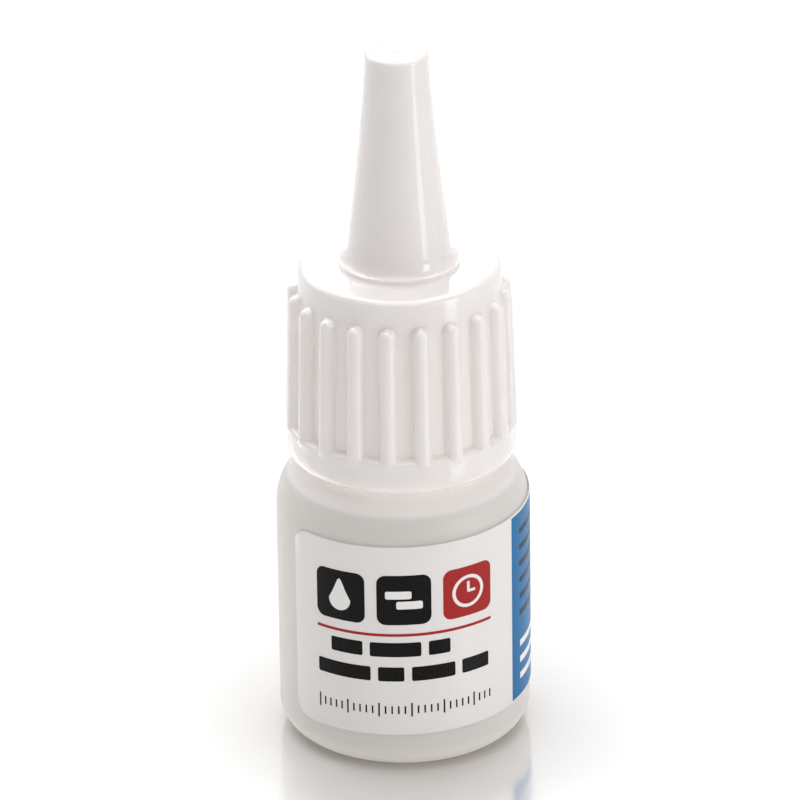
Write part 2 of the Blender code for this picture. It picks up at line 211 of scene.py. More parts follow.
def mouldedPlastic(name, look):       # a moulded surface: two close tones, uneven gloss, ripple and grain; where the look asks, a painted glow in shaded places
    finish, tree, shader = newMaterial(name, look["sockets"])
    place = addNode(tree, "ShaderNodeTexCoord").outputs["Object"]
    cloud = addNode(
        tree,
        "ShaderNodeTexNoise",
        {"Scale": perMetre(look["cloud"]), "Detail": 3.0},
        {"Vector": place},
    )
    tone = addNode(
        tree,
        "ShaderNodeMix",
        {"data_type": "RGBA", 6: linearColour(look["tone"]), 7: linearColour(look["deepTone"])},
        {0: cloud.outputs["Fac"]},
    )
    gloss = addNode(
        tree,
        "ShaderNodeMapRange",
        {**noiseSpan, "To Min": look["roughness"][0], "To Max": look["roughness"][1]},
        {"Value": cloud.outputs["Fac"]},
    )
    drawn = addNode(tree, "ShaderNodeMapping", {"Scale": look.get("stretch", (1, 1, 1))}, {"Vector": place})
    ripple = addNode(
        tree,
        "ShaderNodeTexNoise",
        {"Scale": perMetre(look["ripple"]), "Detail": 1.0},
        {"Vector": drawn.outputs[0]},
    )
    grain = addNode(
        tree,
        "ShaderNodeTexNoise",
        {"Scale": perMetre(look["grain"]), "Detail": 2.0},
        {"Vector": place},
    )
    waves = addNode(
        tree,
        "ShaderNodeBump",
        {"Strength": 1.0, "Distance": look["rippleDepth"] * mm},
        {"Height": ripple.outputs["Fac"]},
    )
    skin = addNode(
        tree,
        "ShaderNodeBump",
        {"Strength": 1.0, "Distance": look["grainDepth"] * mm},
        {"Height": grain.outputs["Fac"], "Normal": waves.outputs[0]},
    )
    # painted glow: an emission in the surface's own tone that grows where ambient occlusion finds the place
    # shaded
    if "paintedGlow" in look:
        shade = addNode(
            tree,
            "ShaderNodeAmbientOcclusion",
            {"samples": paintedGlowRule["samples"], "Distance": look["paintedGlowReach"] * mm},
        )
        paintedGlow = addNode(
            tree,
            "ShaderNodeMapRange",
            {"From Max": paintedGlowRule["openShare"], "To Min": look["paintedGlow"], "To Max": 0.0},
            {"Value": shade.outputs["AO"]},
        )
        tree.links.new(tone.outputs[2], shader.inputs["Emission Color"])
        tree.links.new(paintedGlow.outputs[0], shader.inputs["Emission Strength"])
    tree.links.new(tone.outputs[2], shader.inputs["Base Color"])
    tree.links.new(gloss.outputs[0], shader.inputs["Roughness"])
    tree.links.new(skin.outputs[0], shader.inputs["Normal"])
    return finish, tree, shader, tone, skin


# Bottle: blow moulded, a thin even wall, a rounded base with a recess, a threaded neck

bottle = {
    "steps": 128,
    "wall": 12.5,
    "innerWall": 11.5,
    "row": 3.5,                           # spacing of the rows on plain walls
    "base": (9.7, 2.8, 2.8),              # fillets: centre, height, reach
    "innerBase": (9.7, 3.4, 1.8),
    "innerRings": (3, 6.5),
    "shoulder": (7.1, 24.2),              # centre of both shoulder arcs
    "shoulderReach": 5.4,
    "innerShoulderReach": 4.4,
    "neck": 7.5,
    "neckFillet": (7.9, 29.9446, 0.4),
    "filletTurn": 82,                     # where the neck's fillet runs into the shoulder's arc
    "bore": 5.9,
    "boreFoot": 29.1,
    "boreFillet": 0.5,
    "lip": 47.0,
    "lipRounding": 0.3,
    "standingRing": 7.4,
    "recess": 6.6,
    "recessDepth": 0.5,
    "recessRounding": 0.2,
    "recessRing": 4,
    "threadRow": 0.2,
    "threadStart": 38.375,
}
scar = {
    # The line where the mould pinched the tube off, across the recess
    "size": (7.6, 0.36, 0.22),            # length, width, height
    "sunk": 0.04,                         # this much of it lies inside the base
    "lowerFace": (0.94, 0.45, 1),         # drawn in to these shares of the upper one
    "edge": 0.05,
}


def makeScar(size, ceiling):
    length, width, height = size["size"]
    deselectAll()
    bpy.ops.mesh.primitive_cube_add(size=1, location=(0, 0, (ceiling + size["sunk"] - height / 2) * mm))
    piece = bpy.context.object
    piece.scale = (length * mm, width * mm, height * mm)
    bpy.ops.object.transform_apply()
    bpy.ops.object.mode_set(mode="EDIT")
    pickPoints(piece, lambda place: place.z < ceiling - height / 2)
    bpy.ops.transform.resize(value=size["lowerFace"])
    bpy.ops.mesh.bevel(offset=size["edge"] * mm, segments=2)
    bpy.ops.object.mode_set(mode="OBJECT")
    return piece


def makeBottle(size):
    floor = size["innerBase"][1] - size["innerBase"][2]
    lip, rounding, fillet, turn = size["lip"], size["lipRounding"], size["boreFillet"], size["filletTurn"]
    outline = [
        (0, floor),
        *[(ring, floor) for ring in size["innerRings"]],
        *arcPoints(size["innerBase"][:2], size["innerBase"][2], -90, 0, 7),
        *rowsBetween(size["innerWall"], size["innerBase"][1], size["shoulder"][1], size["row"]),
        *arcPoints(size["shoulder"], size["innerShoulderReach"], 0, 90, 12),
        *arcPoints((size["bore"] + fillet, size["boreFoot"]), fillet, 270, 180, 4),
        *rowsBetween(size["bore"], size["boreFoot"], lip - rounding, size["row"]),
        *arcPoints((size["bore"] + rounding, lip - rounding), rounding, 180, 90, 3),
        *arcPoints((size["neck"] - rounding, lip - rounding), rounding, 90, 0, 3),
        *rowsBetween(size["neck"], lip - rounding, size["neckFillet"][1], size["threadRow"]),
        *arcPoints(size["neckFillet"][:2], size["neckFillet"][2], 180, 180 + turn, 4),
        *arcPoints(size["shoulder"], size["shoulderReach"], turn, 0, 14),
        *rowsBetween(size["wall"], size["shoulder"][1], size["base"][1], size["row"]),
        *arcPoints(size["base"][:2], size["base"][2], 0, -90, 10),
        (size["standingRing"], 0),
        (size["recess"], size["recessDepth"]),
        (size["recessRing"], size["recessDepth"]),
        (0, size["recessDepth"]),
    ]
    piece = drawOutline("bottleShell", outline)
    recess = [(size["standingRing"], 0), (size["recess"], size["recessDepth"])]
    roundCorners(piece, recess, size["recessRounding"])
    spinOutline(size["steps"])
    bpy.ops.object.mode_set(mode="OBJECT")
    raiseThread(piece, size["neck"], size["threadStart"])
    pickOnly(makeScar(scar, size["recessDepth"]))
    piece.select_set(True)
    bpy.context.view_layer.objects.active = piece
    bpy.ops.object.join()
    return smoothed(piece)


bottleLook = {
    # Natural polyethylene: milky, lets light through, satin from the blown skin against the mould
    "sockets": {
        "IOR": 1.51,
        "Transmission Weight": 0.15,
        "Subsurface Weight": 1.0,
        "Subsurface Radius": (1.0, 0.98, 0.96),
        "Subsurface Scale": 1.5 * mm,
    },
    "paintedGlow": 0.21,                         # painted glow: an emission that lights the places that other parts shade, standing in for light the milky wall carries
    "paintedGlowReach": 8.0,
    "tone": "#F7F2F0",
    "deepTone": "#F4EEEB",
    "lowerTone": "#DEDAD6",                 # greyer tone that the wall takes below the height that follows
    "toneStepHeight": 27.7,
    "toneStepFade": (0.5, 0.1),               # the change spans this much below and above
    "cloud": 7.0,
    "roughness": (0.34, 0.46),
    "ripple": 4.5,
    "rippleDepth": 0.05,                  # waves of the blown wall
    "grain": 0.3,                         # the real grain is near 0.1 mm; drawn coarser so that it shows
    "grainDepth": 0.0035,
    "seamWidth": 0.12,                    # parting line of the two mould halves, at the sides
    "seamDepth": 0.03,
    "seamStrength": 0.6,
}


def blownPolyethylene(look):
    finish, tree, shader, tone, skin = mouldedPlastic("blowMouldedPolyethylene", look)
    place = addNode(tree, "ShaderNodeTexCoord").outputs["Object"]
    axes = addNode(tree, "ShaderNodeSeparateXYZ", None, {0: place})
    below, above = look["toneStepFade"]
    belowStep = addNode(
        tree,
        "ShaderNodeMapRange",
        {
            "interpolation_type": "SMOOTHSTEP",
            "From Min": (look["toneStepHeight"] - below) * mm,
            "From Max": (look["toneStepHeight"] + above) * mm,
            "To Min": 1.0,
            "To Max": 0.0,
        },
        {"Value": axes.outputs["Z"]},
    )
    colour = addNode(
        tree,
        "ShaderNodeMix",
        {"data_type": "RGBA", 7: linearColour(look["lowerTone"])},
        {0: belowStep.outputs[0], 6: tone.outputs[2]},
    )
    across = addNode(tree, "ShaderNodeMath", {"operation": "ABSOLUTE"}, {0: axes.outputs["Y"]})
    seam = addNode(
        tree,
        "ShaderNodeMapRange",
        {
            "interpolation_type": "SMOOTHSTEP",
            "From Min": 0.0,
            "From Max": look["seamWidth"] * mm,
            "To Min": 1.0,
            "To Max": 0.0,
        },
        {"Value": across.outputs[0]},
    )
    parting = addNode(
        tree,
        "ShaderNodeBump",
        {"Strength": look["seamStrength"], "Distance": look["seamDepth"] * mm},
        {"Height": seam.outputs[0], "Normal": skin.outputs[0]},
    )
    tree.links.new(colour.outputs[2], shader.inputs["Base Color"])
    tree.links.new(colour.outputs[2], shader.inputs["Emission Color"])
    tree.links.new(parting.outputs[0], shader.inputs["Normal"])
    return finish


settle(makeBottle(bottle), blownPolyethylene(bottleLook), "bottle", "bottle")


# Adhesive: thin clear liquid, drawn up a little where it meets the wall

glue = {
    "steps": 96,
    "level": 26.72,
    "levelRing": 5,
    "wallLevel": 27.0,
    "rim": 1.5,                           # width of the edge that is drawn up the wall
    "rimShares": (0, 0.3, 0.55, 0.75, 0.9),
    "floor": 1.68,
    "wall": 11.42,
    "row": 4,                             # spacing of the rows on the wall
    "base": (9.7, 3.4, 1.72),             # fillet: centre, height, reach
    "shoulder": (7.1, 24.2, 4.32),
    "shoulderRows": 5,
}


def makeGlue(size):
    x, z, reach = size["shoulder"]
    count = size["shoulderRows"]
    rises = [(size["wallLevel"] - z) * (count - row) / count for row in range(count + 1)]
    shoulder = [(x + sqrt(reach ** 2 - rise ** 2), z + rise) for rise in rises]
    level, climb = size["level"], size["wallLevel"] - size["level"]
    rimStart = shoulder[0][0] - size["rim"]
    outline = [
        (0, level),
        (size["levelRing"], level),
        *[(rimStart + size["rim"] * share, level + climb * share ** 3) for share in size["rimShares"]],
        *shoulder,
        *rowsBetween(size["wall"], z, size["base"][1], size["row"]),
        *arcPoints(size["base"][:2], size["base"][2], 0, -90, 7),
        (0, size["floor"]),
    ]
    piece = drawOutline("glueFill", outline)
    spinOutline(size["steps"])
    return smoothed(piece)


glueLook = {
    # Thin instant adhesive: a clear liquid, hardly tinted, with faint clouds of uneven thickness
    "sockets": {"IOR": 1.45, "Roughness": 0.02, "Transmission Weight": 1.0},
    "tone": "#F6F5EE",
    "deepTone": "#EFEEE4",
    "cloud": 9.0,
}


def clearAdhesive(look):
    finish, tree, shader = newMaterial("thinClearAdhesive", look["sockets"])
    place = addNode(tree, "ShaderNodeTexCoord").outputs["Object"]
    cloud = addNode(
        tree,
        "ShaderNodeTexNoise",
        {"Scale": perMetre(look["cloud"]), "Detail": 1.0},
        {"Vector": place},
    )
    tone = addNode(
        tree,
        "ShaderNodeMix",
        {"data_type": "RGBA", 6: linearColour(look["tone"]), 7: linearColour(look["deepTone"])},
        {0: cloud.outputs["Fac"]},
    )
    tree.links.new(tone.outputs[2], shader.inputs["Base Color"])
    return finish


settle(makeGlue(glue), clearAdhesive(glueLook), "bottle", "adhesive")


# Dropper nozzle: plug with a snap bead, flange on the neck's lip, tapered shank with a fine channel

nozzle = {
    "steps": 96,
    "outlet": (0.5, 67.4),
    "tip": (1.0, 67.4),
    "shankRows": ((1.67, 62.3), (2.4, 56.6)),
    "shoulder": (3.1, 51.2),
    "shankFoot": (3.1, 48.3),
    "flange": 8.4,
    "flangeBottom": 47.3,
    "plug": 5.6,
    "plugBottom": 41.3,
    "leadIn": 0.6,
    "bead": (5.78, 44.4, 0.6),            # radius, height, half its width
    "inlet": 1.9,
    "inletTop": 47.3,
    "channelRow": (1.2, 57.35),
    "edgeRounding": 0.22,
    "fillet": 0.35,
    "shoulderRounding": 0.8,
    "inletRounding": 0.25,
}


def makeNozzle(size):
    bead, beadHeight, beadHalf = size["bead"]
    top, flange, plug, inlet = size["shankFoot"][1], size["flange"], size["plug"], size["inlet"]
    outline = [
        size["outlet"],
        size["tip"],
        *size["shankRows"],
        size["shoulder"],
        size["shankFoot"],
        (flange, top),
        (flange, size["flangeBottom"]),
        (plug, size["flangeBottom"]),
        (plug, beadHeight + beadHalf),
        (bead, beadHeight),
        (plug, beadHeight - beadHalf),
        (plug, size["plugBottom"] + size["leadIn"]),
        (plug - size["leadIn"], size["plugBottom"]),
        (inlet, size["plugBottom"]),
        (inlet, size["inletTop"]),
        size["channelRow"],
        size["outlet"],
    ]
    piece = drawOutline("dropperNozzle", outline)
    bpy.ops.mesh.select_all(action="SELECT")
    bpy.ops.mesh.remove_doubles(threshold=mergeReach)
    roundCorners(piece, [(flange, top), (flange, size["flangeBottom"]), size["tip"]], size["edgeRounding"])
    roundCorners(piece, [size["shankFoot"], (bead, beadHeight)], size["fillet"])
    roundCorners(piece, [size["shoulder"]], size["shoulderRounding"])
    roundCorners(piece, [(inlet, size["plugBottom"])], size["inletRounding"])
    spinOutline(size["steps"])
    return smoothed(piece)


nozzleLook = {
    # Softer injection moulded polyethylene: waxy, cloudier than the bottle
    "sockets": {"IOR": 1.51, "Transmission Weight": 0.22, "Specular IOR Level": 0.4},
    "tone": "#EEECE6",
    "deepTone": "#E6E4DC",
    "cloud": 5.0,
    "roughness": (0.28, 0.38),
    "ripple": 2.5,
    "rippleDepth": 0.012,
    "grain": 0.3,
    "grainDepth": 0.002,
}

settle(
    makeNozzle(nozzle),
    mouldedPlastic("mouldedPolyethylene", nozzleLook)[0],
    "nozzle",
    "dropper_nozzle",
)


# Screw collar: one sector of the ribbed wall with its rib, spun round once for each rib

collar = {
    "ribs": 20,
    "firstRib": -97.2,                    # degrees round from +X
    # Half the points across a sector, from the rib's middle, closest together at its flank
    "ribColumns": (0, 0.2, 0.38, 0.54, 0.66, 0.75, 0.8, 0.85, 0.92, 1.02, 1.16, 1.36, 1.6),
    "ribHalf": 0.8,
    "ribTop": 46.45,                      # centres of the round ends
    "ribFoot": 33.2,
    "ribAxis": (10.22, 49.0, 10.67, 33.4),            # radius and height at the top, then at the foot
    "ribBlend": 0.16,
    "ribRunOut": 2.5,                     # the rib goes this far on below the ledge, inside the band
    "rows": (                             # heights of the wall's rows, close together at the ribs' ends
        48.6,
        48.2,
        *[47.9 - 0.12 * row for row in range(13)],
        46.2,
        *[45.0 - 1.2 * row for row in range(9)],
        34.6,
        34.2,
        33.9,
        33.7,
        33.52,
    ),
    "bore": 8.7,
    "bottom": 30.0,
    "top": 50.0,
    "ceiling": 48.6,
    "chamfer": 0.3,
    "hole": 3.4,
    "holeChamfer": 0.15,
    "flatEdge": 0.1,                      # a ring this far inside each edge keeps the flat top's shade even
    "leadIn": 45.7,
    "bead": ((8.2, 46.28), (8.1, 46.4), (8.22, 46.54)),         # holds the nozzle's flange
    "beadTop": 47.0,
    "wallTop": (10.0, 49.0),
    "edgeReach": 0.8,
    "wallFoot": (10.45, 33.4),
    "ledgeFillet": 0.08,
    "band": 11.35,
    "bandEdge": 0.45,
    "bandRows": (0.14, 6),                # spacing and count of the rows under its edge
    "bandFoot": ((11.35, 31.5), (11.35, 31.0), (11.19, 30.2), (11.0, 30.0)),
    "threadRow": 0.25,
    "threadStart": 36.875,
}


def ribHeight(size, x, z):            # how far out the rib's round bar reaches at this place, from its axis
    past = max(z - size["ribTop"], size["ribFoot"] - z, 0)
    inside = size["ribHalf"] ** 2 - x ** 2 - past ** 2
    return copysign(sqrt(abs(inside)), inside)


def collarOutline(size):
    bore, bottom, top, hole = size["bore"], size["bottom"], size["top"], size["hole"]
    ceiling, chamfer, edge = size["ceiling"], size["chamfer"], size["edgeReach"]
    x1, z1 = size["wallTop"]
    x2, ledge = size["wallFoot"]
    band, bandEdge = size["band"], size["bandEdge"]
    spacing, count = size["bandRows"]
    return [
        (bore, bottom + chamfer),
        *rowsBetween(bore, bottom + chamfer, size["leadIn"], size["threadRow"]),
        (bore, size["leadIn"]),
        *size["bead"],
        (bore, size["beadTop"]),
        (bore, ceiling - chamfer),
        (bore - chamfer, ceiling),
        (hole, ceiling),
        (hole, top - size["holeChamfer"]),
        (hole + size["holeChamfer"], top),
        (hole + size["holeChamfer"] + size["flatEdge"], top),
        (x1 - edge - size["flatEdge"], top),
        *arcPoints((x1 - edge, top - edge), edge, 90, 0, 8),
        *[(x1 + (x2 - x1) * (z1 - z) / (z1 - ledge), z) for z in size["rows"]],
        (x2, ledge + size["ledgeFillet"]),
        (x2 + size["ledgeFillet"], ledge),
        *arcPoints((band - bandEdge, ledge - bandEdge), bandEdge, 90, 0, 6),
        *[(band, ledge - bandEdge - spacing * row) for row in range(1, count + 1)],
        *size["bandFoot"],
        (bore + chamfer, bottom),
        (bore, bottom + chamfer),
    ]


def raiseRib(piece, size, columns, sector):           # gathers the columns at the rib's flanks, raises it
    x1, z1, x2, z2 = size["ribAxis"]
    blend = size["ribBlend"]
    spacing = radians(sector) / (len(columns) - 1)
    for point in piece.data.vertices:
        place = point.co / mm
        radius = hypot(place.x, place.y)
        across = columns[round(abs(Vector((place.x, place.y)).angle(Vector((1, 0)))) / spacing)]
        onWall = radius > size["wallTop"][0] - sameSpot
        if onWall and size["wallFoot"][1] - size["ribRunOut"] < place.z < z1:
            axis = x1 + (x2 - x1) * (z1 - place.z) / (z1 - z2)
            rib = axis + ribHeight(size, across, place.z)
            near = max(blend - abs(rib - radius), 0) / blend
            radius = max(radius, rib) + near ** 2 * blend / 4
        turn = radians(size["firstRib"] + across / columns[-1] * sector / 2)
        point.co.x, point.co.y = radius * cos(turn) * mm, radius * sin(turn) * mm


def makeCollar(size):
    columns = [-x for x in reversed(size["ribColumns"])] + list(size["ribColumns"][1:])
    sector = 360 / size["ribs"]
    piece = drawOutline("screwCollar", collarOutline(size))
    spinOutline(len(columns) - 1, sector)
    bpy.ops.object.mode_set(mode="OBJECT")
    raiseRib(piece, size, columns, sector)
    pickOnly(piece)
    bpy.ops.object.mode_set(mode="EDIT")
    bpy.ops.mesh.select_all(action="SELECT")
    bpy.ops.mesh.spin(
        steps=size["ribs"] - 1, dupli=True, angle=radians(360 - sector), center=(0, 0, 0), axis=(0, 0, 1)
    )
    closeUp()
    bpy.ops.object.mode_set(mode="OBJECT")
    raiseThread(piece, size["bore"], size["threadStart"], side=-1)
    return smoothed(piece, 50)


whiteLook = {
    # Injection moulded polypropylene: white with a warm cast, glossy, light sinks in about a millimetre
    "sockets": {
        "IOR": 1.49,
        "Coat Weight": 0.7,
        "Coat Roughness": 0.04,
        "Subsurface Weight": 0.4,
        "Subsurface Radius": (1.0, 0.94, 0.9),
        "Subsurface Scale": 1.2 * mm,
    },
    "paintedGlow": 0.2,                          # painted glow: an emission that lights the grooves and other shaded places, standing in for light through the thin walls
    "paintedGlowReach": 2.5,
    "tone": "#F0EBE9",
    "deepTone": "#ECE6E3",
    "cloud": 6.0,
    "roughness": (0.05, 0.09),
    "ripple": 2.6,                        # slight sinks and flow waves of the moulding
    "rippleDepth": 0.014,
    "grain": 0.35,                        # the skin's real grain is near 0.05 mm; drawn coarser
    "grainDepth": 0.0008,
}

settle(
    makeCollar(collar),
    mouldedPlastic("mouldedPolypropylene", whiteLook)[0],
    "collar",
    "screw_collar",
)


# Tapered cap: a tall hollow spire with a flared foot and a shallow dimple at the gate

cap = {
    "steps": 112,
    "bottom": 50.03,                      # drawn down on to the collar, which the solid clears by 0.3 mm
    "top": 72.5,
    "ceiling": 70.8,
    "foot": 6.0,
    "lip": 0.38,
    "lipEdge": 0.07,
    "flankFoot": (5.0, 52.7),
    "flankTop": 71.75,
    "flankRows": 24,
    "topRadius": 3.12,
    "taperPower": 1.3,                    # over 1, the flank is a little hollow
    "wall": 1.1,
    "ceilingEdge": 0.4,
    "innerFoot": 3.9,
    "innerChamfer": 0.2,
    "edgeReach": 0.5,
    "dimple": (1.9, 0.28),                # radius and depth
    "dimpleEdge": ((0.08, 0), (0, -0.03)),            # from its radius, from the top
    "dimpleFoot": ((0, 0.03), (-0.12, 0)),            # from where its wall ends, from its floor
    "gate": (0.32, 0.09),                 # the small rough nub that the sprue leaves: radius, height
    "gateShape": ((0.7, 1), (1, 0.6), (0.8, 0)),      # shares of its height and radius
    "gateFoot": 0.04,
}


def makeCap(size):
    x0, z0 = size["flankFoot"]
    top, bottom, ceiling, foot = size["top"], size["bottom"], size["ceiling"], size["foot"]
    count, edge, inner = size["flankRows"], size["edgeReach"], size["innerFoot"]
    shares = [row / count for row in range(count + 1)]
    grow = x0 - size["topRadius"]
    flank = [
        (size["topRadius"] + grow * (1 - share) ** size["taperPower"], z0 + (size["flankTop"] - z0) * share)
        for share in shares
    ]
    inside = [(radius - size["wall"], z) for radius, z in flank if z < ceiling - size["ceilingEdge"]]
    flare = z0 - bottom - size["lip"]
    dimple, depth = size["dimple"]
    floor = top - depth
    gate, nub = size["gate"]
    outline = [
        (0, ceiling),
        (inside[-1][0] - size["ceilingEdge"], ceiling),
        *reversed(inside),
        (inner, bottom + size["innerChamfer"]),
        (inner + size["innerChamfer"], bottom),
        (foot, bottom),
        (foot, bottom + size["lip"]),
        *[(x0 + (foot - x0) * (1 - x), z0 - flare * y) for x, y in arcPoints((0, 0), 1, 90, 0, 10)[1:]],
        *flank[1:],
        *arcPoints((size["topRadius"] - edge, size["flankTop"]), edge, 0, 90, 9)[1:],
        *[(dimple + x, top + z) for x, z in size["dimpleEdge"]],
        *[(dimple - depth + x, floor + z) for x, z in size["dimpleFoot"]],
        (gate + size["gateFoot"], floor),
        *[(gate * share, floor + nub * high) for high, share in size["gateShape"]],
    ]
    piece = drawOutline("spireCap", outline)
    roundCorners(piece, [(foot, bottom)], size["lipEdge"])
    spinOutline(size["steps"])
    return smoothed(piece, 40)


capLook = {
    **whiteLook,
    "stretch": (1, 1, 0.12),              # fine upright draw marks from pulling off the core
    "ripple": 0.9,
    "rippleDepth": 0.006,
}

settle(
    makeCap(cap),
    mouldedPlastic("mouldedPolypropyleneDrawn", capLook)[0],
    "cap",
    "spire_cap",
)


# Label: plastic film wound a little askew round the body, laid flat first and then wrapped

label = {
    "radius": 12.55,                      # the film's inner face, a hair off the wall
    "film": 0.06,
    "start": -57.5,                       # degrees round from the front
    "end": 187.5,
    "bottom": 4.3,
    "top": 24.9,
    "slant": 0.0225,                      # rise for each mm round the body
    "corner": 2.0,
    "strip": 0.55,                        # width of the strips that let it bend
    "rows": (0.35, 8),                    # spacing and count of the rows that let a corner lift
    "lift": 0.25,                         # the top corner at the start has come a little unstuck
    "liftInset": 0.6,                     # most lifted this far in from both edges
    "liftReach": 1.6,
    "liftPower": 1.5,
}
arcLength = label["radius"] * radians(1)  # mm along the film for each degree
middle = (label["bottom"] + label["top"]) / 2
filmFace = label["radius"] + label["film"]


def flatBar(x, y, width, height, corner=0.0):         # x, y is the middle, in mm on the flat film
    deselectAll()
    bpy.ops.mesh.primitive_plane_add(size=1, location=(x * mm, y * mm, 0))
    piece = bpy.context.object
    piece.scale = (width * mm, height * mm, 1)
    bpy.ops.object.transform_apply()
    if corner:
        bpy.ops.object.mode_set(mode="EDIT")
        bpy.ops.mesh.select_all(action="SELECT")
        bpy.ops.mesh.bevel(offset=corner * mm, segments=6, affect="VERTICES")
        bpy.ops.object.mode_set(mode="OBJECT")
    return piece


def cutFlat(piece, way, places):      # cuts a flat shape square to this way, at these places in mm
    pickOnly(piece)
    bpy.ops.object.mode_set(mode="EDIT")
    for place in places:
        bpy.ops.mesh.select_all(action="SELECT")
        bpy.ops.mesh.bisect(plane_co=Vector(way) * place * mm, plane_no=way, threshold=mergeReach)
    bpy.ops.object.mode_set(mode="OBJECT")


def wrapOn(piece, radius, thickness, lift=None):      # bends a flat shape round the body and thickens it
    for point in piece.data.vertices:
        along, up = point.co.x / mm, point.co.y / mm
        turn = along / label["radius"]
        reach = radius + (lift(along, up) if lift else 0)
        height = middle + label["slant"] * along + up
        point.co = Vector((reach * sin(turn), -reach * cos(turn), height)) * mm
    pickOnly(piece)
    bpy.ops.object.modifier_add(type="SOLIDIFY")
    solid = piece.modifiers[-1]
    solid.thickness = thickness * mm
    solid.offset = 1
    bpy.ops.object.modifier_apply(modifier=solid.name)
    return piece


def makeLabel(size):
    start, end = size["start"] * arcLength, size["end"] * arcLength
    top = (size["top"] - size["bottom"]) / 2
    spacing, count = size["rows"]
    inset = size["liftInset"]
    piece = flatBar((start + end) / 2, 0, end - start, 2 * top, size["corner"])
    piece.name = piece.data.name = "wrapLabel"
    cutFlat(piece, (1, 0, 0), placesBetween(start, end, size["strip"]))
    cutFlat(piece, (0, 1, 0), [top - spacing * (row + 1) for row in range(count)])

    def corner(along, up):
        away = hypot(along - start - inset, top - inset - up)
        return size["lift"] * max(0, 1 - away / size["liftReach"]) ** size["liftPower"]

    return smoothed(wrapOn(piece, size["radius"], size["film"], corner))


filmLook = {
    # Cast film with a clear coat over the print: smooth, a little warm, faintly rippled by the winding
    "sockets": {"IOR": 1.5, "Coat Weight": 0.25, "Coat Roughness": 0.12},
    "tone": "#ECE8E5",
    "deepTone": "#E9E4E1",
    "cloud": 8.0,
    "roughness": (0.28, 0.36),
    "ripple": 5.0,
    "rippleDepth": 0.02,
    "grain": 0.3,
    "grainDepth": 0.0006,
}

settle(
    makeLabel(label),
    mouldedPlastic("castLabelFilm", filmLook)[0],
    "bottle",
    "wrap_label",
)


# Print: plain geometric shapes in the inks of the label, each colour one thin wrapped layer

artwork = {
    # Places and sizes in mm on the flat film: x from the front's middle, y from half the film's height
    "tiles": (-6.6, 0.0, 6.6),            # middles of the three tiles
    "tileHeight": 4.55,
    "tileSize": (5.4, 5.4, 0.9),          # bars and tiles: width, height, corner
    "drop": (-0.45, 1.2),                 # in the left tile: height of its round part, radius
    "lap": 0.55,                          # in the middle tile: how far each of the two bars is off centre
    "lapBar": (2.6, 0.85, 0.2),
    "clock": (1.75, 1.4),                 # in the right tile: outer and inner radius
    "hands": ((0, 0.45, 0.3, 1.2, 0.1), (0.32, 0, 0.94, 0.3, 0.1)),       # x, y, width, height, corner
    "rule": (0, 0.72, 18.6, 0.3),
    "ticks": (-9.1, -7.55, 0.65, 29),     # left end, height, spacing, count
    "tickSizes": (0.16, 0.85, 1.5),       # width, height, height of every fifth
    "panelStart": 57.8,                   # degrees round from the front
    "panelInset": (0.3, 0.2),             # from the film's end, and from its top and bottom
    "field": (36.0, 3.2, 6.4, 9.0, 0.5),
    "rows": (                             # ink, height, left end, bar height, lengths of the bars, gap
        ("inkBlack", -0.9, -7.6, 1.55, (3.4, 5.1, 2.2), 0.75),
        ("inkBlack", -3.6, -9.2, 1.55, (5.8, 2.6, 4.4, 3.1), 0.75),
        ("inkNavy", 8.0, 14.3, 0.62, (11.0,), 0.6),
        ("inkNavy", 6.2, 14.3, 0.62, (13.5,), 0.6),
        ("inkNavy", 4.4, 14.3, 0.62, (9.4,), 0.6),
        ("inkNavy", 2.6, 14.3, 0.62, (14.2,), 0.6),
        ("inkNavy", 0.8, 14.3, 0.62, (12.1,), 0.6),
        ("inkNavy", -1.0, 14.3, 0.62, (6.3,), 0.6),
        ("inkWhite", -4.4, 14.3, 0.7, (5.2, 8.4), 0.6),
        ("inkWhite", -6.2, 14.3, 0.7, (10.6,), 0.6),
        ("inkWhite", -8.0, 14.3, 0.7, (7.2, 3.0), 0.6),
    ),
    "barCorner": 0.12,                    # of a row's bar, as a share of its height
    "dropNarrow": 0.45,                   # how much narrower and how much longer the drop's top grows
    "dropDraw": 0.9,
    "roundSteps": 40,
    "span": (-10.0, 42.0),                # the stretch of film that carries print, cut into strips
    "strip": 0.5,
}
inks = {
    # Screen-printed inks: body colour and the thickness of the layer over the film
    "inkBlack": ("#060505", 0.015),
    "inkRed": ("#A82A26", 0.015),
    "inkWhite": ("#F2F0EE", 0.022),
    "inkBlue": ("#0A6DA6", 0.008),
    "inkNavy": ("#0A2A45", 0.015),
}


def flatDisc(x, y, radius):
    deselectAll()
    bpy.ops.mesh.primitive_circle_add(
        vertices=artwork["roundSteps"], radius=radius * mm, fill_type="NGON", location=(x * mm, y * mm, 0)
    )
    bpy.ops.object.transform_apply()
    return bpy.context.object


def flatRing(x, y, outer, inner):
    piece = flatDisc(x, y, outer)
    bpy.ops.object.mode_set(mode="EDIT")
    bpy.ops.mesh.select_all(action="SELECT")
    bpy.ops.mesh.inset(thickness=(outer - inner) * mm)
    bpy.ops.mesh.delete(type="FACE")
    bpy.ops.object.mode_set(mode="OBJECT")
    return piece


def flatDrop(x, y, radius):           # a disc whose upper half is drawn up to a point
    piece = flatDisc(x, y, radius)
    for point in piece.data.vertices:
        up = (point.co.y / mm - y) / radius
        if up > 0:
            point.co.x = (x + (point.co.x / mm - x) * (1 - artwork["dropNarrow"] * up)) * mm
            point.co.y = (y + radius * (up + artwork["dropDraw"] * up ** 3)) * mm
    return piece


def barRow(y, left, height, lengths, gap):            # bars of unlike lengths, as plain as lines on a form
    made = []
    for length in lengths:
        made.append(flatBar(left + length / 2, y, length, height, artwork["barCorner"] * height))
        left += length + gap
    return made


